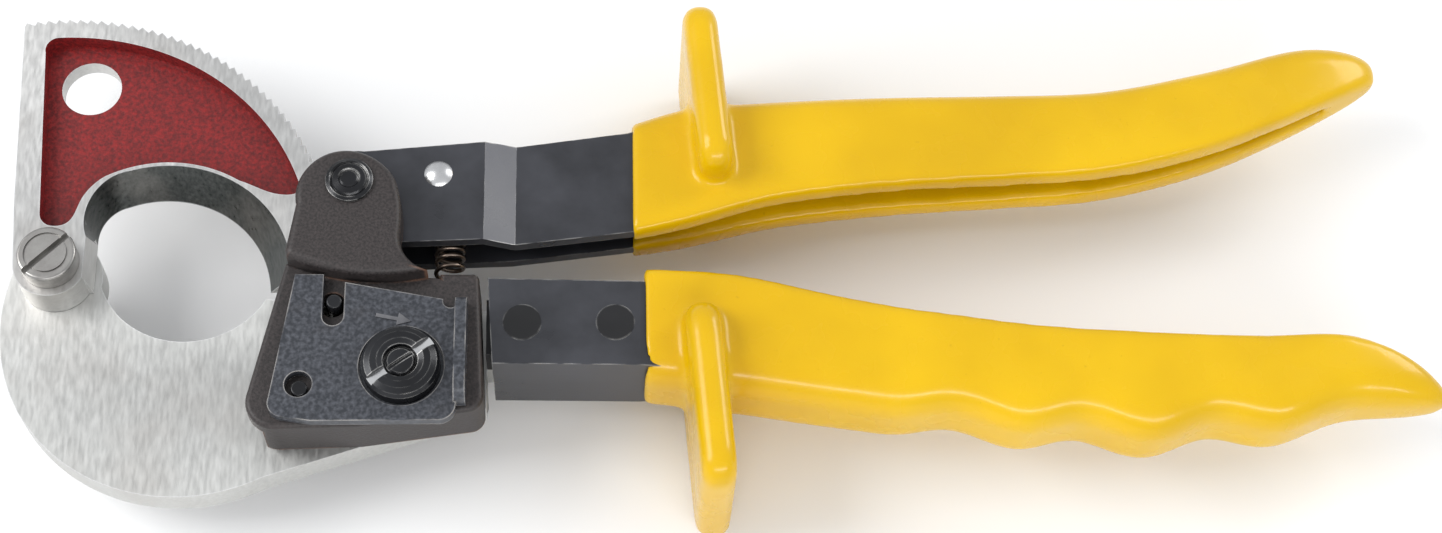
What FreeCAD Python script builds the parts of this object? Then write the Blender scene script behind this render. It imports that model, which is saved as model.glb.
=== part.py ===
import FreeCAD, Part
import math
import os

# Ratcheting cable cutter. Working coordinates in mm: the blade pivot is X = Y = 0,
# +X runs to the handle ends, +Y to the moving handle, +Z out of the front face.
# build() moves everything to the bottom centre of the whole tool's bounds.

# Layers through the thickness (Z)
FIXED_BACK, FIXED_FRONT = 11.5, 17.5
MOVING_BACK, MOVING_FRONT = 17.6, 24.6
WEB_FRONT = 21.1
REAR_BACK, REAR_FRONT = 6.5, 11.4
BODY_BACK, BODY_FRONT = 24.9, 28.0
EAR_BACK, EAR_FRONT = 27.3, 32.3
REAR_EAR_BACK, REAR_EAR_FRONT = 9.9, 14.9
PLATE_BACK, PLATE_FRONT = 28.1, 30.1
GUARD_BACK, GUARD_FRONT = 0.0, 34.4
GUARD_CORNER = 5.0

# Toothed sector of the moving blade
TIP_R = 49.0
TOOTH_DEPTH = 0.8
TOOTH_PITCH = 2.25
SECTOR_START, SECTOR_TEETH = -14.0, 51
RECESS_R = 45.2
HANGING_HOLE = (3.5, 36.4, 5.37)

# Degrees the holding pawl turns between lifted clear and home in a tooth gap
HOLD_TURN = 3.5

# Pivots: X, Y
HANDLE_PIVOT = (52.2, 12.1)
DRIVE_PIN = (67.3, 16.2)
HOLD_PIN = (45.1, -26.1)
FOLLOWER = (50.3, -10.0)
KNOB = (62.2, -22.0)
SCREWS = [(70.5, -9.0), (70.5, -20.5), (58.3, -25.2)]
RIVETS = [(82.5, -12.4), (98.7, -12.4)]

BOLT_R = 3.2
HANDLE_PIN_R = 3.0
RUN = 0.05
SHEET = 2.2
DIP = 1.1
COIL_R, WIRE_R = 2.4, 0.4
RETURN_X, RETURN_Z = 69.4, 21.1
RETURN_Y0, RETURN_Y1 = -3.7, 10.3

# Handle grips: X, top Y, bottom Y, back Z, front Z
UPPER_GRIP = [
    (101.5, 28.6, 5.4, 13.4, 25.6),
    (112, 31.8, 8.0, 12.0, 25.8),
    (127, 33.3, 12.5, 10.4, 25.6),
    (148, 34.6, 15.4, 10.0, 25.2),
    (170, 35.2, 17.0, 10.0, 25.0),
    (189, 36.1, 18.7, 10.0, 25.0),
    (210, 40.7, 24.3, 10.4, 24.8),
    (228, 46.0, 32.2, 11.6, 23.8),
    (238.5, 46.0, 37.6, 13.6, 21.8),
    (242.0, 43.9, 39.6, 15.9, 19.5),
]
LOWER_GRIP = [
    (103.5, -1.8, -22.3, 8.4, 27.4),
    (120, -3.0, -24.4, 8.2, 27.4),
    (137, -6.8, -27.0, 8.0, 27.2),
    (149.3, -9.2, -28.4, 8.0, 27.0),
    (157.7, -10.4, -27.5, 8.0, 27.0),
    (170.1, -12.2, -31.3, 8.0, 27.0),
    (179.8, -13.1, -29.6, 8.0, 27.0),
    (192.1, -13.8, -33.0, 8.0, 27.0),
    (204.1, -14.3, -29.5, 8.2, 26.8),
    (214.6, -14.4, -31.2, 8.4, 26.6),
    (228, -14.0, -26.8, 9.0, 26.0),
    (238, -17.0, -26.3, 11.0, 24.4),
    (244.0, -20.8, -25.9, 13.5, 22.0),
    (246.8, -22.9, -24.9, 16.0, 19.4),
]
STATION_STEP = 6.0


def vec(x, y, z=0.0):
    return FreeCAD.Vector(x, y, z)


def profile(*runs):
    """Closed face from runs of points: two make a line, three an arc, more a smooth curve."""
    edges = []
    for run in runs:
        points = [vec(*p) for p in run]
        if len(points) == 2:
            edges.append(Part.makeLine(points[0], points[1]))
        elif len(points) == 3:
            edges.append(Part.Arc(points[0], points[1], points[2]).toShape())
        else:
            curve = Part.BSplineCurve()
            curve.interpolate(points)
            edges.append(curve.toShape())
    if edges[-1].Vertexes[-1].Point.distanceToPoint(vec(*runs[0][0])) > 1e-6:
        edges.append(Part.makeLine(vec(*runs[-1][-1]), vec(*runs[0][0])))
    return Part.Face(Part.Wire(edges))


def polygon(points):
    return Part.Face(Part.makePolygon([vec(*p) for p in points + points[:1]]))


def plate(face, z0, z1):
    lifted = face.copy()
    lifted.translate(vec(0, 0, z0))
    return lifted.extrude(vec(0, 0, z1 - z0))


def disc(centre, r, z0, z1):
    return Part.makeCylinder(r, z1 - z0, vec(centre[0], centre[1], z0))


def block(x0, x1, y0, y1, z0, z1):
    return Part.makeBox(x1 - x0, y1 - y0, z1 - z0, vec(x0, y0, z0))


def fuse(*shapes):
    return shapes[0].multiFuse(list(shapes[1:])).removeSplitter()


def polar(r, degrees):
    return (r * math.cos(math.radians(degrees)), r * math.sin(math.radians(degrees)))


def turned(centre, outline):
    """Solid of revolution about a vertical line; outline is (r, z) pairs from the axis."""
    points = [vec(r, 0, z) for r, z in outline]
    face = Part.Face(Part.makePolygon(points + points[:1]))
    solid = face.revolve(vec(0, 0, 0), vec(0, 0, 1), 360)
    solid.translate(vec(centre[0], centre[1], 0))
    return solid


def dome(centre, r, z, height):
    """Low round cap standing on z."""
    sphere_r = (r * r + height * height) / (2 * height)
    ball = Part.makeSphere(sphere_r, vec(centre[0], centre[1], z + height - sphere_r))
    return ball.common(disc(centre, r, z, z + height + 1))


def rounded_tops(shape, z, radius):
    """Round every edge that lies wholly at height z."""
    edges = [e for e in shape.Edges if all(abs(v.Z - z) < 1e-4 for v in e.Vertexes)
             and abs(e.BoundBox.ZMin - z) < 1e-3 and abs(e.BoundBox.ZMax - z) < 1e-3]
    return shape.makeFillet(radius, edges)


def helix(radius, pitch, height, wire):
    path = Part.makeHelix(pitch, height, radius)
    ring = Part.Wire(Part.makeCircle(wire, vec(radius, 0, 0), vec(0, 1, 0)))
    return Part.Wire(path).makePipeShell([ring], True, True)


# ---------------------------------------------------------------- blades

def sector_teeth():
    """Points along the saw-toothed rim, from the leading end anticlockwise."""
    points = []
    for i in range(SECTOR_TEETH):
        start = SECTOR_START + i * TOOTH_PITCH
        points.append(polar(TIP_R - TOOTH_DEPTH, start))
        points.append(polar(TIP_R, start + 0.75 * TOOTH_PITCH))
    points.append(polar(TIP_R - TOOTH_DEPTH, SECTOR_START + SECTOR_TEETH * TOOTH_PITCH))
    return points


def moving_blade():
    rim = sector_teeth()
    runs = [[a, b] for a, b in zip(rim, rim[1:])]
    runs.append([rim[-1], (-7.4, 12.1)])
    runs.append([(-7.4, 12.1), (-6.4, -1.0)])
    runs.append([(-6.4, -1.0), (0, -6.45), (5.8, -2.8)])
    runs.append([(5.8, -2.8), (20, -2.8)])
    runs.append([(20, -2.8), (43.2, -2.8)])
    runs.append([(43.2, -2.8), (42.4, -9.0)])
    blade = plate(profile(*runs), MOVING_BACK, MOVING_FRONT)
    blade = blade.cut(jaw_cutter()).cut(plate(recess_face(), WEB_FRONT, MOVING_FRONT + 1))
    x, y, r = HANGING_HOLE
    holes = disc((x, y), r, 0, 40).fuse(disc((0, 0), BOLT_R + RUN, 0, 40))
    return blade.cut(holes)


def jaw_cutter():
    """Space of the jaw above the cutting edge, widening to the front as the bevel."""
    def outline(z, arc, left, right, foot):
        runs = [arc, [arc[-1]] + left, [left[-1], (left[-1][0], foot)]]
        runs.append([(left[-1][0], foot), (right, foot)])
        runs.append([(right, foot), arc[0]])
        wire = profile(*runs).OuterWire
        wire.translate(vec(0, 0, z))
        return wire
    edge = outline(MOVING_BACK - 0.01, [(37.6, -3.3), (25.0, 14.1), (11.2, 13.85)],
                   [(8.2, 11.9), (6.9, 9.6), (6.5, 6.5)], 37.6, -12)
    face = outline(MOVING_FRONT + 0.01, [(42.2, -2.7), (30.8, 15.9), (12.6, 18.0)],
                   [(8.0, 15.6), (5.5, 11.3), (5.7, 5.0)], 42.2, -12)
    return Part.makeLoft([edge, face], True, True)


def recess_face():
    """Outline of the sunk, painted panel; a thin land is left beside the bevel."""
    return profile(
        [polar(RECESS_R, 19.5), polar(RECESS_R, 55), polar(RECESS_R, 93)],
        [polar(RECESS_R, 93), (-4.2, 44.3), (-4.7, 42.0)],
        [(-4.7, 42.0), (-3.7, 25.4)],
        [(-3.7, 25.4), (-2.7, 9.4)],
        [(-2.7, 9.4), (-1.9, 7.7), (-0.2, 7.0)],
        [(-0.2, 7.0), (2.6, 8.0), (4.3, 12.2), (6.0, 14.9), (8.3, 16.9)],
        [(8.3, 16.9), (19.3, 19.6), (31.8, 16.0)],
        [(31.8, 16.0), (36.0, 14.2), (39.9, 13.2), (42.2, 13.7), polar(RECESS_R, 19.5)])


def fixed_blade():
    hook = profile(
        [(7.7, -1.6), (22.0, -12.16), (36.9, -3.9)],
        [(36.9, -3.9), (44.0, -5.6)],
        [(44.0, -5.6), (102.8, -7.4)],
        [(102.8, -7.4), (102.8, -17.6)],
        [(102.8, -17.6), (76.1, -17.6)],
        [(76.1, -17.6), (76.1, -24.9)],
        [(76.1, -24.9), (38.0, -37.5)],
        [(38.0, -37.5), (15.6, -40.1), (-4.6, -25.4)],
        [(-4.6, -25.4), (-9.2, -10.2), (-8.0, 1.2)],
        [(-8.0, 1.2), (0.9, 8.0), (7.7, -1.6)])
    blade = plate(hook, FIXED_BACK, FIXED_FRONT)
    low = Part.Wire(Part.makeCircle(20.4, vec(23.2, 3.9, FIXED_BACK - 0.01)))
    high = Part.Wire(Part.makeCircle(16.1, vec(22.8, 3.92, FIXED_FRONT - 0.6)))
    bevel = Part.makeLoft([low, high], True, True)
    blade = blade.cut(bevel.common(block(9, 60, -30, 30, 0, 40)))
    holes = [disc((0, 0), BOLT_R, 0, 40), disc(HOLD_PIN, 1.4, 14.0, 40)]
    holes += [disc(p, 1.5, 0, 40) for p in SCREWS]
    holes += [disc(p, 2.5, 0, 40) for p in RIVETS]
    return blade.cut(fuse_all(holes))


def fuse_all(shapes):
    return shapes[0].multiFuse(shapes[1:])


def blade_bolt():
    head = rounded_tops(disc((0, 0), 5.1, 24.7, 28.4), 28.4, 0.5)
    groove = disc((0, 0), 3.9, 28.1, 29).cut(disc((0, 0), 3.5, 28.0, 29))
    slot = block(-6, 6, -0.55, 0.55, 27.2, 29)
    slot.rotate(vec(0, 0, 0), vec(0, 0, 1), 45)
    return head.cut(groove).cut(slot).fuse(disc((0, 0), BOLT_R, 6.2, 24.7)).removeSplitter()


def bolt_washer():
    return disc((0, 0), 6.2, 10.3, FIXED_BACK).cut(disc((0, 0), BOLT_R, 0, 40))


def blade_nut():
    corners = [polar(5.6, 60 * i + 12) for i in range(6)]
    nut = plate(polygon(corners), 6.6, 10.3)
    chamfer = Part.makeCone(4.9, 6.4, 3.7, vec(0, 0, 6.6))
    return nut.common(chamfer).cut(disc((0, 0), BOLT_R, 0, 40))


# ---------------------------------------------------------------- housing

def body_face(corner, foot, heel):
    """Casting outline: corner is its lower left end, foot and heel its lower right edge."""
    x, y = corner
    return profile(
        [(68.2, -4.5), (41.3, -1.6)],
        [(41.3, -1.6), (x, y + 6.5)],
        [(x, y + 6.5), (x + 1.0, y + 1.8), (x + 5.6, y)],
        [(x + 5.6, y), (55.0, foot)],
        [(55.0, foot), (73.6, heel)],
        [(73.6, heel), (75.4, heel + 0.9), (76.1, heel + 2.8)],
        [(76.1, heel + 2.8), (75.0, -4.8)],
        [(75.0, -4.8), (74.6, -4.0), (73.6, -3.7)],
        [(73.6, -3.7), (68.2, -3.7)])


def ear_face():
    """Raised round lug that carries the handle pivot, with its foot on the body."""
    return profile(
        [(41.6, -1.0), (43.0, 8.0)],
        [(43.0, 8.0), (44.0, 14.2), (47.5, 17.6), (51.9, 18.5), (56.6, 16.8), (60.2, 12.6)],
        [(60.2, 12.6), (61.2, 8.5), (61.3, 2.6)],
        [(61.3, 2.6), (62.6, -2.2), (66.2, -4.6)],
        [(66.2, -4.6), (54.0, -5.35), (41.9, -2.2)])


def mechanism_room():
    """Plan of the hollow that takes the toothed rim and both pawls."""
    pocket = polygon([(30, 6), (64.5, 6), (64.5, -3.0), (62, -12), (56.6, -21.5), (53.0, -29.4),
                      (40, -29.4), (30, -20)])
    return plate(pocket, 0, 60).fuse(disc((0, 0), 50.2, 0, 60))


def front_housing():
    outline = body_face((36.0, -32.4), -32.0, -29.4)
    body = rounded_tops(plate(outline, FIXED_FRONT, BODY_FRONT), BODY_FRONT, 0.9)
    room = mechanism_room().common(block(-60, 120, -60, 60, 0, BODY_BACK))
    ear = rounded_tops(plate(ear_face(), EAR_BACK, EAR_FRONT), EAR_FRONT, 1.3)
    housing = body.cut(room).fuse(ear)
    holes = [disc(HANDLE_PIVOT, HANDLE_PIN_R, 0, 60), disc(HOLD_PIN, 1.4, 0, 60)]
    holes += [disc((FOLLOWER[0] - 0.45, FOLLOWER[1] + 0.15), 2.3, 0, 60)]
    holes += [disc(KNOB, 1.85, 22.0, 60)]
    holes += [disc(p, 1.5, 0, 24.0) for p in SCREWS]
    return housing.cut(fuse_all(holes))


def rear_housing():
    outline = body_face((37.0, -32.0), -29.4, -23.6)
    body = rounded_tops(plate(outline, REAR_BACK, REAR_FRONT), REAR_BACK, 0.9)
    ear = plate(ear_face(), REAR_EAR_BACK, REAR_EAR_FRONT)
    ear = ear.cut(block(30, 90, -20, -3.0, REAR_FRONT, 40))
    housing = body.fuse(ear)
    holes = [disc(HANDLE_PIVOT, HANDLE_PIN_R, 0, 60)] + [disc(p, 1.5, 0, 60) for p in SCREWS]
    sinks = [disc(p, 3.0, 0, REAR_BACK + 1.6) for p in SCREWS]
    shim = plate(outline, REAR_FRONT, FIXED_BACK).common(block(30, 76.2, -36, -8, 0, 40))
    return housing.fuse(shim).cut(fuse_all(holes + sinks)).removeSplitter()


def housing_screws():
    screws = []
    for p in SCREWS:
        head = disc(p, 2.9, REAR_BACK + 0.1, REAR_BACK + 1.6)
        shank = disc(p, 1.5, REAR_BACK + 1.6, 24.0)
        hexagon = plate(polygon([(p[0] + 1.3 * math.cos(math.radians(60 * i)),
                                  p[1] + 1.3 * math.sin(math.radians(60 * i)))
                                 for i in range(6)]), REAR_BACK, REAR_BACK + 1.3)
        screws.append(head.fuse(shank).cut(hexagon).removeSplitter())
    return Part.makeCompound(screws)


def handle_pivot_pin():
    rings = [(0, 8.6), (3.9, 8.6), (3.9, 9.9), (HANDLE_PIN_R, 9.9), (HANDLE_PIN_R, EAR_FRONT),
             (4.15, EAR_FRONT), (4.15, 32.8), (3.5, 33.2), (3.2, 33.0), (2.9, 33.3), (1.9, 33.5),
             (1.7, 33.3), (1.4, 33.5), (0, 33.6)]
    return turned(HANDLE_PIVOT, rings)


# ---------------------------------------------------------------- release

def release_plate():
    face = profile(
        [(43.4, -4.9), (48.35, -4.9)],
        [(48.35, -4.9), (48.35, -12.7)],
        [(48.35, -12.7), (50.2, -14.55), (52.05, -12.7)],
        [(52.05, -12.7), (52.05, -6.4)],
        [(52.05, -6.4), (69.0, -9.6)],
        [(69.0, -9.6), (70.0, -11.2), (71.4, -10.6)],
        [(71.4, -10.6), (71.6, -29.0)],
        [(71.6, -29.0), (70.6, -31.2), (68.2, -31.9)],
        [(68.2, -31.9), (47.3, -32.0)],
        [(47.3, -32.0), (42.0, -31.2)],
        [(42.0, -31.2), (40.4, -30.2), (40.0, -27.8)],
        [(40.0, -27.8), (43.4, -4.9)])
    lever = plate(face, PLATE_BACK, PLATE_FRONT)
    tab = block(71.2, 73.2, -28.6, -9.6, PLATE_BACK, 33.2)
    crown = [e for e in tab.Edges if abs(e.BoundBox.XLength) > 1.9 and e.BoundBox.ZMin > 33]
    tab = tab.makeFillet(3.0, crown)
    lever = lever.fuse(tab).removeSplitter()
    holes = [disc(KNOB, 7.3, 29.1, 40), disc(KNOB, 5.5, 0, 40)]
    holes += [disc((HOLD_PIN[0] - 0.18, HOLD_PIN[1] + 0.75), 2.35, 0, 40)]
    return lever.cut(fuse_all(holes))


def release_knob():
    knob = turned(KNOB, [(1.9, PLATE_BACK), (5.5, PLATE_BACK), (5.5, 29.1), (6.7, 29.1), (6.7, 31.6),
                         (6.2, 32.4), (5.2, 32.9), (4.0, 33.0), (3.0, 32.6), (3.0, 31.2), (1.9, 31.2)])
    slot = block(-7.5, 7.5, -0.8, 0.8, 32.0, 34)
    slot.rotate(vec(0, 0, 0), vec(0, 0, 1), 36)
    slot.translate(vec(KNOB[0], KNOB[1], 0))
    return knob.cut(slot)


def knob_screw():
    screw = turned(KNOB, [(0, 22.0), (1.85, 22.0), (1.85, 31.3), (2.6, 31.3), (2.6, 32.0),
                          (2.2, 32.4), (0, 32.6)])
    slot = block(-3, 3, -0.35, 0.35, 32.0, 33)
    slot.rotate(vec(0, 0, 0), vec(0, 0, 1), 36)
    slot.translate(vec(KNOB[0], KNOB[1], 0))
    return screw.cut(slot)


def holding_pawl():
    """Arm that lies along the rim, one tooth at its free end; drawn clear of the rim."""
    start, end = math.degrees(math.atan2(HOLD_PIN[1], HOLD_PIN[0])), -9.5
    ring = disc((0, 0), 54.0, 17.9, 23.4).cut(disc((0, 0), 50.35, 0, 60))
    wedge = polygon([(0, 0), polar(80, start), polar(80, end)])
    arm = ring.common(plate(wedge, 0, 60))
    eye = disc(HOLD_PIN, 2.55, 17.9, 23.4).cut(disc((0, 0), 49.35, 0, 60))
    tip = disc(FOLLOWER, 2.9, 17.9, 23.4).cut(disc((0, 0), 50.2, 0, 60))
    tooth = plate(polygon([polar(48.4, -7.08), polar(50.0, -5.4), polar(52.6, -6.6),
                           polar(52.6, -9.6), polar(50.1, -8.6)]), 17.9, 23.4)
    tooth.rotate(vec(*HOLD_PIN), vec(0, 0, 1), -HOLD_TURN)
    pawl = arm.fuse([eye, tip, tooth]).removeSplitter()
    return pawl.cut(disc(HOLD_PIN, 1.4 + RUN, 0, 60)).cut(disc(FOLLOWER, 1.33, 0, 60))


def holding_pawl_pin():
    return rounded_tops(disc(HOLD_PIN, 1.4, 14.0, PLATE_FRONT + 0.1), PLATE_FRONT + 0.1, 0.3)


def follower_pin():
    return rounded_tops(disc(FOLLOWER, 1.33, 17.9, PLATE_FRONT + 0.1), PLATE_FRONT + 0.1, 0.3)


def holding_pawl_spring():
    coil = helix(2.15, 0.8, 0.8, 0.25)
    coil.translate(vec(HOLD_PIN[0], HOLD_PIN[1], 23.75))
    return coil


# ---------------------------------------------------------------- moving handle

def moving_silhouette(drop=0.0, floor=0.0):
    """Side view of the pressed channel; drop lowers the roof, floor lowers the open side."""
    return profile(
        [(45.6, 10.0 - floor), (46.4, 17.4 - drop), (54.0, 20.6 - drop)],
        [(54.0, 20.6 - drop), (81.6, 23.2 - drop)],
        [(81.6, 23.2 - drop), (101.0, 26.1 - drop)],
        [(101.0, 26.1 - drop), (124.0, 31.0 - drop), (170.0, 33.0 - drop), (192.0, 34.6 - drop),
         (232.0, 44.0 - drop)],
        [(232.0, 44.0 - drop), (232.0, 37.0 - floor)],
        [(232.0, 37.0 - floor), (212.0, 27.6 - floor), (190.0, 20.8 - floor), (160.0, 18.2 - floor),
         (124.0, 13.4 - floor), (103.0, 6.4 - floor)],
        [(103.0, 6.4 - floor), (80.2, 3.5 - floor)],
        [(80.2, 3.5 - floor), (61.0, 2.7 - floor)],
        [(61.0, 2.7 - floor), (56.0, 4.4 - floor)],
        [(56.0, 4.4 - floor), (45.6, 10.0 - floor)])


def upright(near, far, inset):
    """Block whose (X, Z) outline is near plus far, each moved in by inset."""
    face = polygon([(x, z - inset) for x, z in near] + [(x, z + inset) for x, z in far])
    face.rotate(vec(0, 0, 0), vec(1, 0, 0), 90)
    face.translate(vec(0, 80, 0))
    return face.extrude(vec(0, -160, 0))


def channel_plan(inset):
    """Width of the channel seen from its roof: (X, Z) outline, each side moved in by inset."""
    near = [(40, 27.1), (75.5, 27.1), (81.0, 24.0), (160, 23.6), (240, 21.8)]
    far = [(240, 13.4), (160, 11.5), (126, 12.1), (104, 15.1), (40, 15.1)]
    return upright(near, far, inset)


def moving_channel():
    outer = plate(moving_silhouette(), 0, 60).common(channel_plan(0))
    inner = plate(moving_silhouette(SHEET, 12.0), 0, 60).common(channel_plan(SHEET))
    return outer.cut(inner)


def moving_handle():
    room = disc((0, 0), 50.2, 17.3, 24.9)
    head_gap = block(40, 56.0, -10, 40, 17.3, 24.9)
    holes = fuse(disc(HANDLE_PIVOT, HANDLE_PIN_R + RUN, 0, 60), disc(DRIVE_PIN, 1.6, 0, 60))
    return moving_channel().cut(room).cut(head_gap).cut(holes)


def section(x, y_low, y_high, z_low, z_high, r_low, r_high):
    """Rounded rectangle across the handle at X, with its own radius below and above."""
    limit = min(y_high - y_low, z_high - z_low) / 2 - 0.05
    corners = []
    for y, z, y_in, z_in, r in ((y_high, z_high, -1, -1, r_high), (y_high, z_low, -1, 1, r_high),
                                (y_low, z_low, 1, 1, r_low), (y_low, z_high, 1, -1, r_low)):
        r = min(r, limit)
        k = r * (1 - math.sqrt(0.5))
        along_z = vec(x, y, z + z_in * r)
        along_y = vec(x, y + y_in * r, z)
        middle = vec(x, y + y_in * k, z + z_in * k)
        if y_in * z_in > 0:
            corners.append((along_y, middle, along_z))
        else:
            corners.append((along_z, middle, along_y))
    edges = []
    for i, corner in enumerate(corners):
        edges.append(Part.Arc(*corner).toShape())
        edges.append(Part.makeLine(corner[2], corners[(i + 1) % 4][0]))
    return Part.Wire(edges)


def blended(stations):
    """Stations about STATION_STEP apart on smooth curves through the given ones."""
    smooth = []
    for i in range(len(stations) - 1):
        p1, p2 = stations[i], stations[i + 1]
        p0 = stations[max(i - 1, 0)]
        p3 = stations[min(i + 2, len(stations) - 1)]
        span = p2[0] - p1[0]
        steps = max(1, round(span / STATION_STEP))
        for n in range(steps):
            t = n / steps
            row = [p1[0] + t * span]
            for k in range(1, len(p1)):
                slope_1 = (p2[k] - p0[k]) / (p2[0] - p0[0]) * span
                slope_2 = (p3[k] - p1[k]) / (p3[0] - p1[0]) * span
                row.append((2 * t**3 - 3 * t**2 + 1) * p1[k] + (t**3 - 2 * t**2 + t) * slope_1
                           + (3 * t**2 - 2 * t**3) * p2[k] + (t**3 - t**2) * slope_2)
            smooth.append(row)
    smooth.append(list(stations[-1]))
    return smooth


def grip_body(stations, r_low, r_high):
    wires = [section(x, low, high, back, front, r_low, r_high)
             for x, high, low, back, front in blended(stations)]
    return Part.makeLoft(wires, True, False)


def guard(x, y0, y1, lean):
    """Rounded hand stop across the handle."""
    ring = section(x - 3.15, y0, y1, GUARD_BACK, GUARD_FRONT, GUARD_CORNER, GUARD_CORNER)
    stop = Part.Face(ring).extrude(vec(6.3, 0, 0))
    rims = [e for e in stop.Edges if e.BoundBox.XLength < 1e-3]
    stop = stop.makeFillet(2.6, rims)
    stop.rotate(vec(x, (y0 + y1) / 2, 0), vec(0, 0, 1), lean)
    return stop


def moving_grip():
    """Dipped skin over and inside the channel, open along its lower side."""
    grip = grip_body(UPPER_GRIP, 1.2, 4.0).fuse(guard(115.4, 15.0, 48.9, 5.0))
    groove = plate(moving_silhouette(SHEET + DIP, 40.0), 0, 60).common(channel_plan(SHEET + DIP))
    return grip.cut(groove).cut(moving_channel()).removeSplitter()


def drive_pawl():
    """Strut from the pin down to the rim, pointed to enter one tooth gap."""
    tip = polar(49.35, 3.0)
    kx, ky = DRIVE_PIN
    length = math.hypot(tip[0] - kx, tip[1] - ky)
    strut = plate(polygon([(0, -1.9), (length - 4, -1.9), (length, 0), (length - 4, 1.6), (0, 1.9)]),
                  17.9, 22.4)
    strut.rotate(vec(0, 0, 0), vec(0, 0, 1), math.degrees(math.atan2(tip[1] - ky, tip[0] - kx)))
    strut.translate(vec(kx, ky, 0))
    pawl = strut.fuse(disc(DRIVE_PIN, 3.2, 17.9, 22.4)).removeSplitter()
    return pawl.cut(disc(DRIVE_PIN, 1.6 + RUN, 0, 60)).cut(disc((0, 0), 49.25, 0, 60))


def drive_pawl_pin():
    pin = disc(DRIVE_PIN, 1.6, 15.1, 27.1)
    return pin.fuse(dome(DRIVE_PIN, 2.5, 27.1, 1.0)).removeSplitter()


def drive_pawl_spring():
    coil = helix(2.25, 0.85, 1.4, 0.28)
    coil.translate(vec(DRIVE_PIN[0], DRIVE_PIN[1], 22.95))
    return coil


def spring_seat():
    seat = block(66.9, 72.4, RETURN_Y1, RETURN_Y1 + 2.0, 17.3, 24.9)
    return seat


def return_spring():
    length = RETURN_Y1 - RETURN_Y0
    coil = helix(COIL_R, 1.9, length - 2 * WIRE_R, WIRE_R)
    coil.rotate(vec(0, 0, 0), vec(1, 0, 0), -90)
    coil.translate(vec(RETURN_X, RETURN_Y0 + WIRE_R, RETURN_Z))
    return coil


# ---------------------------------------------------------------- fixed handle

def fixed_silhouette(rise=0.0, ceiling=0.0):
    """Side view of the fixed channel; rise lifts its floor, ceiling lifts the open side."""
    return profile(
        [(76.4, -4.0 + ceiling), (104.1, -4.6 + ceiling)],
        [(104.1, -4.6 + ceiling), (120.0, -6.0 + ceiling), (137.0, -9.0 + ceiling),
         (170.0, -14.0 + ceiling), (200.0, -16.0 + ceiling), (226.0, -16.0 + ceiling)],
        [(226.0, -16.0 + ceiling), (226.0, -23.4 + rise)],
        [(226.0, -23.4 + rise), (204.0, -25.6 + rise), (170.0, -25.2 + rise), (137.0, -23.4 + rise),
         (116.0, -20.6 + rise)],
        [(116.0, -20.6 + rise), (77.4, -20.1 + rise)],
        [(77.4, -20.1 + rise), (76.4, -4.0 + ceiling)])


def fixed_plan(inset):
    """Width of the fixed channel seen from its open side, each side moved in by inset."""
    near = [(70, 26.5), (103, 26.5), (114, 24.8), (240, 24.2)]
    far = [(240, 10.8), (114, 10.6), (103, 9.3), (70, 9.3)]
    return upright(near, far, inset)


def fixed_channel():
    outer = plate(fixed_silhouette(), 0, 60).common(fixed_plan(0))
    inner = plate(fixed_silhouette(SHEET, 12.0), 0, 60).common(fixed_plan(SHEET))
    return outer.cut(inner)


def fixed_handle():
    channel = fixed_channel().cut(block(70, 80, -17.8, 10, 11.5, 24.3))
    holes = [disc(p, 3.3, 24.3, 60) for p in RIVETS] + [disc(p, 3.3, 0, 11.5) for p in RIVETS]
    return channel.cut(fuse_all(holes))


def tang_spacer():
    spacer = block(76.2, 103.0, -17.6, -7.2, FIXED_FRONT, 24.3)
    return spacer.cut(fuse_all([disc(p, 2.5, 0, 60) for p in RIVETS]))


def handle_rivets():
    rivets = []
    for p in RIVETS:
        rivets.append(fuse(disc(p, 3.3, 9.3, 11.5), disc(p, 2.5, 11.5, 24.3),
                           disc(p, 3.3, 24.3, 26.6)))
    return Part.makeCompound(rivets)


def fixed_grip():
    """Dipped skin with finger scallops, open along its upper side."""
    grip = grip_body(LOWER_GRIP, 6.0, 1.6).fuse(guard(114.9, -44.3, -10.2, 4.5))
    groove = plate(fixed_silhouette(SHEET + DIP, 30.0), 0, 60).common(fixed_plan(SHEET + DIP))
    return grip.cut(groove).cut(fixed_channel()).removeSplitter()


NODES = [
    fixed_blade, moving_blade, blade_bolt, bolt_washer, blade_nut,
    front_housing, rear_housing, housing_screws, handle_pivot_pin,
    release_plate, release_knob, knob_screw,
    holding_pawl, holding_pawl_pin, follower_pin, holding_pawl_spring,
    moving_handle, moving_grip, drive_pawl, drive_pawl_pin, drive_pawl_spring,
    spring_seat, return_spring,
    fixed_handle, tang_spacer, handle_rivets, fixed_grip,
]


def build():
    os.makedirs("parts", exist_ok=True)
    shapes = {make.__name__: make() for make in NODES}
    box = Part.makeCompound(list(shapes.values())).optimalBoundingBox()
    shift = vec(-(box.XMin + box.XMax) / 2, -(box.YMin + box.YMax) / 2, -box.ZMin)
    for name, shape in shapes.items():
        shape.translate(shift)
        shape.exportStep("parts/%s.step" % name)
    print("shift %.3f %.3f %.3f" % (shift.x, shift.y, shift.z))
    print("size %.2f %.2f %.2f" % (box.XLength, box.YLength, box.ZLength))
    for name, shape in shapes.items():
        print(name, "solids", len(shape.Solids), "valid", shape.isValid(), round(shape.Volume, 1))


build()
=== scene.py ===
import math

import bmesh
import bpy
from mathutils import Matrix, Vector

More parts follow.
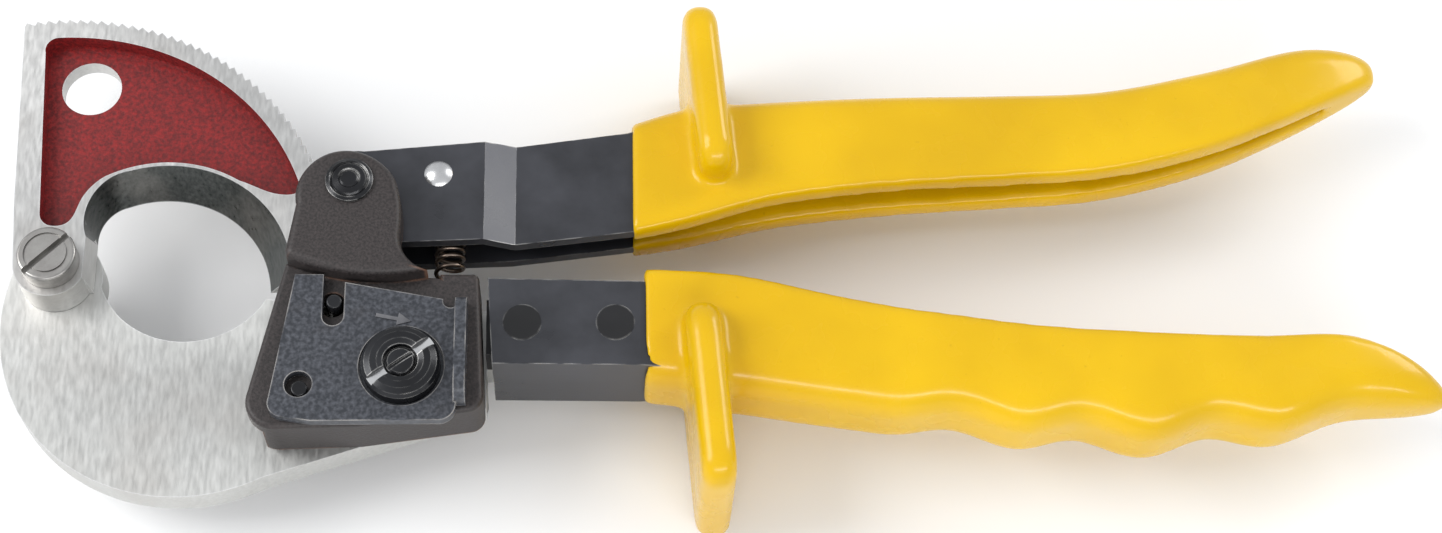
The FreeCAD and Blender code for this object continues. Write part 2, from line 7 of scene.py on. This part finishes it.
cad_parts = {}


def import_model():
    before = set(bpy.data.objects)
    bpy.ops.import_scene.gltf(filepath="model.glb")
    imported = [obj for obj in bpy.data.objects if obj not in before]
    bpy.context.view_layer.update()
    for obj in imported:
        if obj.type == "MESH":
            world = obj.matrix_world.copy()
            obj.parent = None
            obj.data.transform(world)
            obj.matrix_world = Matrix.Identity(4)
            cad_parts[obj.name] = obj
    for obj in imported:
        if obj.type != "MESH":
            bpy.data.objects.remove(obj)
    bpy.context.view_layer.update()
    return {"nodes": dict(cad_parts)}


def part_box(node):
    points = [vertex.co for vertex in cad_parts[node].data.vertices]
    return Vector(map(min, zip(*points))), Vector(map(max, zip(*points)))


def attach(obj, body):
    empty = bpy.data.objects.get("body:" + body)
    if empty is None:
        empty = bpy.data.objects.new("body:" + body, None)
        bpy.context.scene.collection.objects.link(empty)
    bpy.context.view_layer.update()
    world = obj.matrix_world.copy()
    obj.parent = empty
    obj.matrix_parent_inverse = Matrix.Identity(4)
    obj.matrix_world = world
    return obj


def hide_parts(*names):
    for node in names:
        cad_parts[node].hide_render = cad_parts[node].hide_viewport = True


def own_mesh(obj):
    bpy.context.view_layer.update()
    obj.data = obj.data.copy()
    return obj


MM = 0.001

# Heights above the floor of the moving blade's sunk panel and of the knob's slot, in metres
RECESS_FLOOR = 21.1 * MM
SLOT_FLOOR = 32.0 * MM

# Camera and its aim, from the blade pivot on the floor plane, in metres
CAMERA_FROM_PIVOT = Vector((0.0960, -0.1826, 0.4168))
AIM_FROM_PIVOT = Vector((0.11777, 0.00219, 0.018))
CAMERA_ROLL = math.radians(6.1)
LENS, SENSOR = 61.04, 36.0

# Return spring of the moving handle
SPRING_R, SPRING_WIRE, SPRING_TURNS = 2.4 * MM, 0.4 * MM, 6.5
SPRING_STEPS_PER_TURN = 24
SPRING_GATHERING = 0.055

# Skin of the dipped grips: the grain of its mesh, and how its corners are smoothed
DIP_VOXEL = 0.7 * MM
DIP_SMOOTHING, DIP_SMOOTHING_PASSES = 0.6, 14

# Rounded edges that catch light
CASTING_EDGE, SHEET_EDGE, BLADE_EDGE, ARROW_EDGE = 0.35 * MM, 0.18 * MM, 0.08 * MM, 0.06 * MM

# Arrow on the release plate; its tail is placed from the knob's axis
ARROW_LENGTH, ARROW_HEAD = 6.2 * MM, 2.4 * MM
ARROW_SHAFT_HALF, ARROW_HEAD_HALF = 0.35 * MM, 1.2 * MM
ARROW_TAIL_FROM_KNOB = (-4.6 * MM, 9.4 * MM)
ARROW_FOOT, ARROW_RISE = 30.05 * MM, 0.22 * MM
ARROW_TURN = math.radians(-11.7)

GRIPS = ("moving_grip", "fixed_grip")
CASTINGS = ("front_housing", "rear_housing")
SHARP_SHEET = ("fixed_blade", "moving_handle", "fixed_handle", "release_plate", "release_knob")


# ---------------------------------------------------------------- materials

class Graph:
    """A material's node tree, with short calls for the nodes used here."""

    def __init__(self, name):
        self.material = bpy.data.materials.new(name)
        self.material.use_nodes = True
        self.nodes = self.material.node_tree.nodes
        self.links = self.material.node_tree.links
        self.shader = self.nodes["Principled BSDF"]
        self.place = self.nodes.new("ShaderNodeTexCoord").outputs["Object"]

    def set(self, **values):
        """Sets or links the shader's sockets; underscores stand for spaces."""
        for name, value in values.items():
            self.feed(value, self.shader.inputs[name.replace("_", " ")])

    def feed(self, value, socket):
        if isinstance(value, bpy.types.NodeSocket):
            self.links.new(value, socket)
        elif isinstance(value, tuple) and len(value) == 3:
            socket.default_value = (*value, 1.0)
        else:
            socket.default_value = value

    def noise(self, scale, detail=3.0, stretch=(1, 1, 1), roughness=0.55, turn=(0, 0, 0)):
        """Noise of about scale cycles per metre, drawn out along an axis by stretch."""
        mapping = self.nodes.new("ShaderNodeMapping")
        mapping.inputs["Rotation"].default_value = turn
        mapping.inputs["Scale"].default_value = stretch
        self.links.new(self.place, mapping.inputs["Vector"])
        node = self.nodes.new("ShaderNodeTexNoise")
        node.inputs["Scale"].default_value = scale
        node.inputs["Detail"].default_value = detail
        node.inputs["Roughness"].default_value = roughness
        self.links.new(mapping.outputs[0], node.inputs["Vector"])
        return node.outputs["Fac"]

    def ramp(self, value, low, high, out_low=0.0, out_high=1.0):
        node = self.nodes.new("ShaderNodeMapRange")
        node.clamp = True
        self.links.new(value, node.inputs["Value"])
        for name, number in (("From Min", low), ("From Max", high),
                             ("To Min", out_low), ("To Max", out_high)):
            node.inputs[name].default_value = number
        return node.outputs["Result"]

    def times(self, a, b):
        node = self.nodes.new("ShaderNodeMath")
        node.operation = "MULTIPLY"
        self.feed(a, node.inputs[0])
        self.feed(b, node.inputs[1])
        return node.outputs[0]

    def mix(self, amount, a, b):
        node = self.nodes.new("ShaderNodeMix")
        node.data_type = "RGBA"
        self.feed(amount, node.inputs["Factor"])
        self.feed(a, node.inputs[6])
        self.feed(b, node.inputs[7])
        return node.outputs[2]

    def bump(self, height, distance, strength=1.0, below=None):
        node = self.nodes.new("ShaderNodeBump")
        node.inputs["Distance"].default_value = distance
        node.inputs["Strength"].default_value = strength
        self.links.new(height, node.inputs["Height"])
        if below is not None:
            self.links.new(below, node.inputs["Normal"])
        return node.outputs["Normal"]

    def edges(self, radius, low=0.995, high=0.90):
        """1 where the surface turns a corner within radius, 0 on flats."""
        bevel = self.nodes.new("ShaderNodeBevel")
        bevel.samples = 6
        bevel.inputs["Radius"].default_value = radius
        flat = self.nodes.new("ShaderNodeNewGeometry")
        dot = self.nodes.new("ShaderNodeVectorMath")
        dot.operation = "DOT_PRODUCT"
        self.links.new(bevel.outputs[0], dot.inputs[0])
        self.links.new(flat.outputs["Normal"], dot.inputs[1])
        return self.ramp(dot.outputs["Value"], low, high)


def ground_steel(name, light, dark, rough, turn):
    """Surface-ground steel: fine straight grain, faint stains, and a painted highlight on its
    corners.
    """
    g = Graph(name)
    grain = g.noise(1500, 4, (1, 0.22, 1), turn=(0, 0, turn))
    stain = g.noise(45, 5)
    colour = g.mix(g.ramp(grain, 0.3, 0.7), dark, light)
    colour = g.mix(g.ramp(stain, 0.52, 0.75, 0, 0.45), colour, (0.44, 0.41, 0.38))
    # Painted highlight: all corners are mixed toward near-white, standing in for glints along the
    # edges.
    colour = g.mix(g.times(g.edges(0.3 * MM), 0.6), colour, (0.85, 0.85, 0.86))
    g.set(Base_Color=colour, Metallic=1.0, Anisotropic=0.35,
          Roughness=g.ramp(grain, 0.3, 0.7, rough - 0.06, rough + 0.08),
          Normal=g.bump(grain, 0.02 * MM, 0.5))
    return g.material


def red_paint():
    """Sunk panel: red paint with a fine wrinkled, speckled skin."""
    g = Graph("red_wrinkle_paint")
    wrinkle = g.noise(1500, 3, roughness=0.6)
    cloud = g.noise(120, 4)
    colour = g.mix(g.ramp(wrinkle, 0.35, 0.7), (0.10, 0.006, 0.007), (0.26, 0.014, 0.014))
    colour = g.mix(g.ramp(cloud, 0.5, 0.8, 0, 0.35), colour, (0.12, 0.008, 0.008))
    g.set(Base_Color=colour, Roughness=g.ramp(wrinkle, 0.3, 0.7, 0.55, 0.36), Specular_IOR_Level=0.4,
          Normal=g.bump(wrinkle, 0.12 * MM, 0.6))
    return g.material


def sand_casting():
    """Painted casting: brownish black, sandy skin, copper-brown wear on its corners."""
    g = Graph("black_casting")
    sand = g.noise(2200, 3)
    cloud = g.noise(90, 5)
    colour = g.mix(g.ramp(sand, 0.35, 0.7), (0.018, 0.015, 0.0145), (0.046, 0.037, 0.036))
    wear = g.times(g.edges(0.7 * MM), g.ramp(cloud, 0.48, 0.62))
    colour = g.mix(g.times(wear, 0.6), colour, (0.26, 0.13, 0.08))
    g.set(Base_Color=colour, Metallic=0.15, Roughness=g.ramp(sand, 0.3, 0.7, 0.42, 0.58),
          Normal=g.bump(cloud, 0.15 * MM, 0.3, g.bump(sand, 0.10 * MM, 0.55)))
    return g.material


def dark_steel(name, dark, light, rough, wear, metal=0.85):
    """Blued or oxide-black steel with faint rolling grain and bright corners."""
    g = Graph(name)
    grain = g.noise(700, 4, (0.08, 1, 1))
    cloud = g.noise(70, 5)
    colour = g.mix(g.ramp(cloud, 0.35, 0.7), dark, light)
    worn = g.times(g.edges(0.35 * MM), g.ramp(g.noise(260, 4), 0.42, 0.6))
    colour = g.mix(g.times(worn, wear), colour, (0.55, 0.54, 0.52))
    g.set(Base_Color=colour, Metallic=metal,
          Roughness=g.ramp(cloud, 0.3, 0.7, rough - 0.05, rough + 0.10),
          Normal=g.bump(grain, 0.02 * MM, 0.5))
    return g.material


def slate_paint():
    """Release plate: slate blue, speckled, rubbed bright on its corners."""
    g = Graph("slate_plate")
    speck = g.noise(1300, 4)
    cloud = g.noise(130, 4)
    colour = g.mix(g.ramp(speck, 0.4, 0.7), (0.030, 0.033, 0.040), (0.085, 0.090, 0.105))
    colour = g.mix(g.ramp(cloud, 0.55, 0.8, 0, 0.5), colour, (0.035, 0.030, 0.028))
    worn = g.times(g.edges(0.4 * MM), g.ramp(cloud, 0.38, 0.55))
    colour = g.mix(g.times(worn, 0.8), colour, (0.42, 0.40, 0.38))
    g.set(Base_Color=colour, Metallic=0.25, Roughness=g.ramp(speck, 0.3, 0.7, 0.34, 0.46),
          Normal=g.bump(speck, 0.05 * MM, 0.5))
    return g.material


def turned_steel(name, light, dark, rough):
    """Lathe-turned fastener with soft tarnish."""
    g = Graph(name)
    tarnish = g.noise(260, 5)
    fine = g.noise(2400, 2)
    g.set(Base_Color=g.mix(g.ramp(tarnish, 0.35, 0.7), light, dark), Metallic=1.0,
          Roughness=g.ramp(tarnish, 0.3, 0.7, rough - 0.05, rough + 0.12),
          Normal=g.bump(fine, 0.015 * MM, 0.5))
    return g.material


def yellow_dip():
    """Dipped vinyl: thick glossy yellow skin, a little uneven, with faint handling marks."""
    g = Graph("yellow_dip")
    cloud = g.noise(28, 3)
    ripple = g.noise(140, 2)
    specks = g.noise(900, 3)
    colour = g.mix(g.ramp(cloud, 0.35, 0.65), (0.60, 0.355, 0.001), (0.70, 0.43, 0.0015))
    colour = g.mix(g.ramp(specks, 0.70, 0.80, 0, 0.35), colour, (0.36, 0.19, 0.002))
    g.set(Base_Color=colour, Roughness=g.ramp(ripple, 0.35, 0.7, 0.22, 0.32), Specular_IOR_Level=0.25,
          Subsurface_Weight=0.06, Subsurface_Scale=2 * MM, Coat_Weight=0.18, Coat_Roughness=0.08,
          Normal=g.bump(ripple, 0.25 * MM, 0.18, g.bump(specks, 0.02 * MM, 0.2)))
    g.shader.inputs["Subsurface Radius"].default_value = (1.0, 0.6, 0.2)
    return g.material


def plain(name, colour, rough):
    g = Graph(name)
    g.set(Base_Color=colour, Roughness=rough)
    return g.material


# ---------------------------------------------------------------- CAD nodes

def smooth(obj, angle):
    """Smooth shading that keeps edges sharper than angle degrees."""
    mesh = obj.data
    for polygon in mesh.polygons:
        polygon.use_smooth = True
    mesh.set_sharp_from_angle(angle=math.radians(angle))


def soften(obj, width, angle=38):
    """A narrow rounded edge that catches light."""
    bevel = obj.modifiers.new("edge", "BEVEL")
    bevel.width = width
    bevel.segments = 2
    bevel.limit_method = "ANGLE"
    bevel.angle_limit = math.radians(angle)
    bevel.harden_normals = False


def dip_skin(obj):
    """One continuous skin with soft inner corners, as thick vinyl leaves the dip tank."""
    remesh = obj.modifiers.new("skin", "REMESH")
    remesh.mode = "VOXEL"
    remesh.voxel_size = DIP_VOXEL
    remesh.use_smooth_shade = True
    flow = obj.modifiers.new("flow", "SMOOTH")
    flow.factor = DIP_SMOOTHING
    flow.iterations = DIP_SMOOTHING_PASSES


def paint(node, material):
    slots = node.data.materials
    slots.clear()
    slots.append(material)


def paint_moving_blade(node, steel, bevel, red):
    """Ground steel all over, red in the sunk panel, and painted shade on the sloped bevel, which gets
    a dark copy of the blade steel.
    """
    slots = node.data.materials
    slots.clear()
    for material in (steel, bevel, red):
        slots.append(material)
    steel_slot, shaded_bevel_slot, red_slot = range(3)
    mesh = node.data
    for polygon in mesh.polygons:
        heights = [mesh.vertices[i].co.z for i in polygon.vertices]
        floor = polygon.normal.z > 0.99 and abs(polygon.center.z - RECESS_FLOOR) < 0.05 * MM
        upright = abs(polygon.normal.z) < 0.05
        wall = upright and min(heights) > RECESS_FLOOR - 0.05 * MM
        # Sloped faces are the cutting bevel; they get the painted-shade copy of the steel.
        sloped = 0.15 < polygon.normal.z < 0.95
        if floor or wall:
            polygon.material_index = red_slot
        else:
            polygon.material_index = shaded_bevel_slot if sloped else steel_slot


def paint_worn_slot(node, black, worn):
    """Black knob with the floor of its coin slot rubbed bright."""
    paint(node, black)
    node.data.materials.append(worn)
    for polygon in node.data.polygons:
        floor = polygon.normal.z > 0.99 and abs(polygon.center.z - SLOT_FLOOR) < 0.02 * MM
        polygon.material_index = 1 if floor else 0


# ---------------------------------------------------------------- pieces

def coil_spring(node, material):
    """Coil along Y between the housing and the handle's seat, its turns closest in the middle."""
    low, high = (Vector(v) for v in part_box(node))
    centre = (low + high) / 2
    start, end = low.y + SPRING_WIRE, high.y - SPRING_WIRE
    curve = bpy.data.curves.new("return_coil", "CURVE")
    curve.dimensions = "3D"
    curve.bevel_depth = SPRING_WIRE
    curve.bevel_resolution = 4
    curve.use_fill_caps = True
    steps = int(SPRING_TURNS * SPRING_STEPS_PER_TURN)
    spline = curve.splines.new("POLY")
    spline.points.add(steps)
    for i in range(steps + 1):
        t = i / steps
        rise = t + SPRING_GATHERING * math.sin(2 * math.pi * t)
        angle = 2 * math.pi * SPRING_TURNS * t
        place = (centre.x + SPRING_R * math.cos(angle), start + (end - start) * (1 - rise),
                 centre.z + SPRING_R * math.sin(angle))
        spline.points[i].co = (*place, 1.0)
    drawn = bpy.data.objects.new("return_coil_path", curve)
    coil = bpy.data.objects.new("return_coil", bpy.data.meshes.new_from_object(drawn))
    bpy.data.objects.remove(drawn)
    bpy.context.scene.collection.objects.link(coil)
    coil.data.materials.clear()
    coil.data.materials.append(material)
    smooth(coil, 60)
    bpy.context.view_layer.update()
    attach(coil, "frame_body")
    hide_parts(node)
    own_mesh(coil)


def arrow_mark(material):
    """Shallow raised arrow on the release plate, pointing the way that opens the pawl."""
    knob_low, knob_high = (Vector(v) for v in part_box("release_knob"))
    centre = (knob_low + knob_high) / 2
    neck = ARROW_LENGTH - ARROW_HEAD
    outline = [(0, -ARROW_SHAFT_HALF), (neck, -ARROW_SHAFT_HALF), (neck, -ARROW_HEAD_HALF),
               (ARROW_LENGTH, 0), (neck, ARROW_HEAD_HALF), (neck, ARROW_SHAFT_HALF),
               (0, ARROW_SHAFT_HALF)]
    mesh = bmesh.new()
    ring = [mesh.verts.new((x, y, 0)) for x, y in outline]
    face = mesh.faces.new(ring)
    raised = bmesh.ops.extrude_face_region(mesh, geom=[face])
    top = [v for v in raised["geom"] if isinstance(v, bmesh.types.BMVert)]
    bmesh.ops.translate(mesh, verts=top, vec=(0, 0, ARROW_RISE))
    bmesh.ops.recalc_face_normals(mesh, faces=mesh.faces)
    data = bpy.data.meshes.new("arrow_mark")
    mesh.to_mesh(data)
    mesh.free()
    arrow = bpy.data.objects.new("arrow_mark", data)
    bpy.context.scene.collection.objects.link(arrow)
    along, across = ARROW_TAIL_FROM_KNOB
    arrow.rotation_euler = (0, 0, ARROW_TURN)
    arrow.location = (centre.x + along, centre.y + across, ARROW_FOOT)
    data.materials.append(material)
    soften(arrow, ARROW_EDGE)
    bpy.context.view_layer.update()
    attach(arrow, "release")


# ---------------------------------------------------------------- stage

def area_light(name, place, aim, size, power, tint=(1, 1, 1), height=None):
    data = bpy.data.lights.new(name, "AREA")
    data.shape = "RECTANGLE"
    data.size = size
    data.size_y = height or size
    data.energy = power
    data.color = tint
    light = bpy.data.objects.new(name, data)
    bpy.context.scene.collection.objects.link(light)
    light.location = place
    light.rotation_euler = (Vector(aim) - Vector(place)).to_track_quat("-Z", "Y").to_euler()


def studio():
    """Seamless pale floor under soft boxes and an even white surround."""
    bpy.ops.mesh.primitive_plane_add(size=6)
    floor = bpy.context.object
    floor.name = "floor"
    floor.data.materials.append(plain("floor_white", (0.86, 0.86, 0.86), 0.9))
    area_light("key", (-0.65, 0.05, 0.60), (0, 0, 0.02), 0.5, 5.0)
    area_light("strip", (0.12, -0.60, 0.42), (0.04, 0, 0.02), 0.8, 2.4, height=0.10)
    area_light("side", (0.70, 0.45, 0.45), (0, 0, 0.02), 0.35, 2.6)
    world = bpy.data.worlds.new("surround")
    world.use_nodes = True
    background = world.node_tree.nodes["Background"]
    background.inputs["Color"].default_value = (0.95, 0.97, 1.0, 1.0)
    background.inputs["Strength"].default_value = 0.72
    bpy.context.scene.world = world
    bpy.context.scene.view_settings.view_transform = "Standard"


def camera(pivot):
    data = bpy.data.cameras.new("camera")
    data.lens = LENS
    data.sensor_width = SENSOR
    data.clip_start = 0.01
    view = bpy.data.objects.new("camera", data)
    bpy.context.scene.collection.objects.link(view)
    place = pivot + CAMERA_FROM_PIVOT
    sight = pivot + AIM_FROM_PIVOT - place
    turn = sight.to_track_quat("-Z", "Y").to_matrix() @ Matrix.Rotation(CAMERA_ROLL, 3, "Z")
    view.matrix_world = Matrix.Translation(place) @ turn.to_4x4()
    bpy.context.scene.camera = view


# ---------------------------------------------------------------- assembly

def paint_nodes(nodes, spring):
    """The finish of every CAD node; the moving blade and the knob have more than one."""
    blade = ground_steel("blade_steel", (0.68, 0.675, 0.66), (0.56, 0.555, 0.54), 0.38, 0.0)
    hook = ground_steel("hook_steel", (0.64, 0.64, 0.62), (0.53, 0.53, 0.51), 0.40, 0.5)
    # Painted shade: a much darker copy of the blade steel for the sloped cutting bevel.
    bevel = ground_steel("shaded_bevel_steel", (0.12, 0.125, 0.12), (0.055, 0.06, 0.058), 0.32, 1.2)
    bolt = turned_steel("bolt_steel", (0.42, 0.41, 0.39), (0.26, 0.25, 0.24), 0.32)
    bright = turned_steel("bright_pin", (0.78, 0.78, 0.78), (0.55, 0.55, 0.56), 0.22)
    blued = dark_steel("blued_sheet", (0.034, 0.035, 0.040), (0.062, 0.064, 0.074), 0.30, 0.5, 0.4)
    black = dark_steel("black_oxide", (0.006, 0.006, 0.007), (0.016, 0.017, 0.020), 0.24, 0.8, 0.4)
    # Near-black: the rivets' own dark finish, and painted shade on the tang spacer so that the gap
    # between the tangs reads dark.
    rivet_and_gap_shade = dark_steel("rivet_black_and_gap_shade", (0.005, 0.005, 0.006), (0.010, 0.010, 0.012), 0.5, 0.2, 0.2)
    casting = sand_casting()
    dip = yellow_dip()
    finishes = {
        "fixed_blade": hook, "blade_bolt": bolt, "bolt_washer": bolt, "blade_nut": bolt,
        "front_housing": casting, "rear_housing": casting, "housing_screws": black,
        "handle_pivot_pin": black, "release_plate": slate_paint(), "knob_screw": black,
        "holding_pawl": bolt, "holding_pawl_pin": black, "follower_pin": black,
        "holding_pawl_spring": spring, "moving_handle": blued, "moving_grip": dip,
        "drive_pawl": bolt, "drive_pawl_pin": bright, "drive_pawl_spring": spring,
        # The tang spacer takes the near-black finish as painted shade for the gap between the tangs.
        "spring_seat": blued, "fixed_handle": blued, "tang_spacer": rivet_and_gap_shade,
        "handle_rivets": rivet_and_gap_shade, "fixed_grip": dip,
    }
    for name, material in finishes.items():
        paint(nodes[name], material)
    paint_moving_blade(nodes["moving_blade"], blade, bevel, red_paint())
    paint_worn_slot(nodes["release_knob"], black, bright)


def round_nodes(nodes):
    """Dipped skin on the grips, smooth shading on the rest, rounded edges where they show."""
    for name, node in nodes.items():
        if name in GRIPS:
            dip_skin(node)
        else:
            smooth(node, 30)
    for name in CASTINGS:
        soften(nodes[name], CASTING_EDGE)
    for name in SHARP_SHEET:
        soften(nodes[name], SHEET_EDGE)
    soften(nodes["moving_blade"], BLADE_EDGE, 50)


def blade_pivot():
    """The blade bolt's axis where it meets the floor plane."""
    pivot_low, pivot_high = (Vector(v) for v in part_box("bolt_washer"))
    pivot = (pivot_low + pivot_high) / 2
    pivot.z = 0.0
    return pivot


def main():
    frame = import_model()
    nodes = frame["nodes"]

    spring = turned_steel("spring_wire", (0.34, 0.27, 0.22), (0.10, 0.075, 0.06), 0.28)
    paint_nodes(nodes, spring)
    round_nodes(nodes)
    coil_spring("return_spring", spring)
    arrow_mark(turned_steel("arrow_worn", (0.24, 0.24, 0.25), (0.12, 0.12, 0.13), 0.45))

    studio()
    camera(blade_pivot())

    bpy.context.view_layer.update()


main()
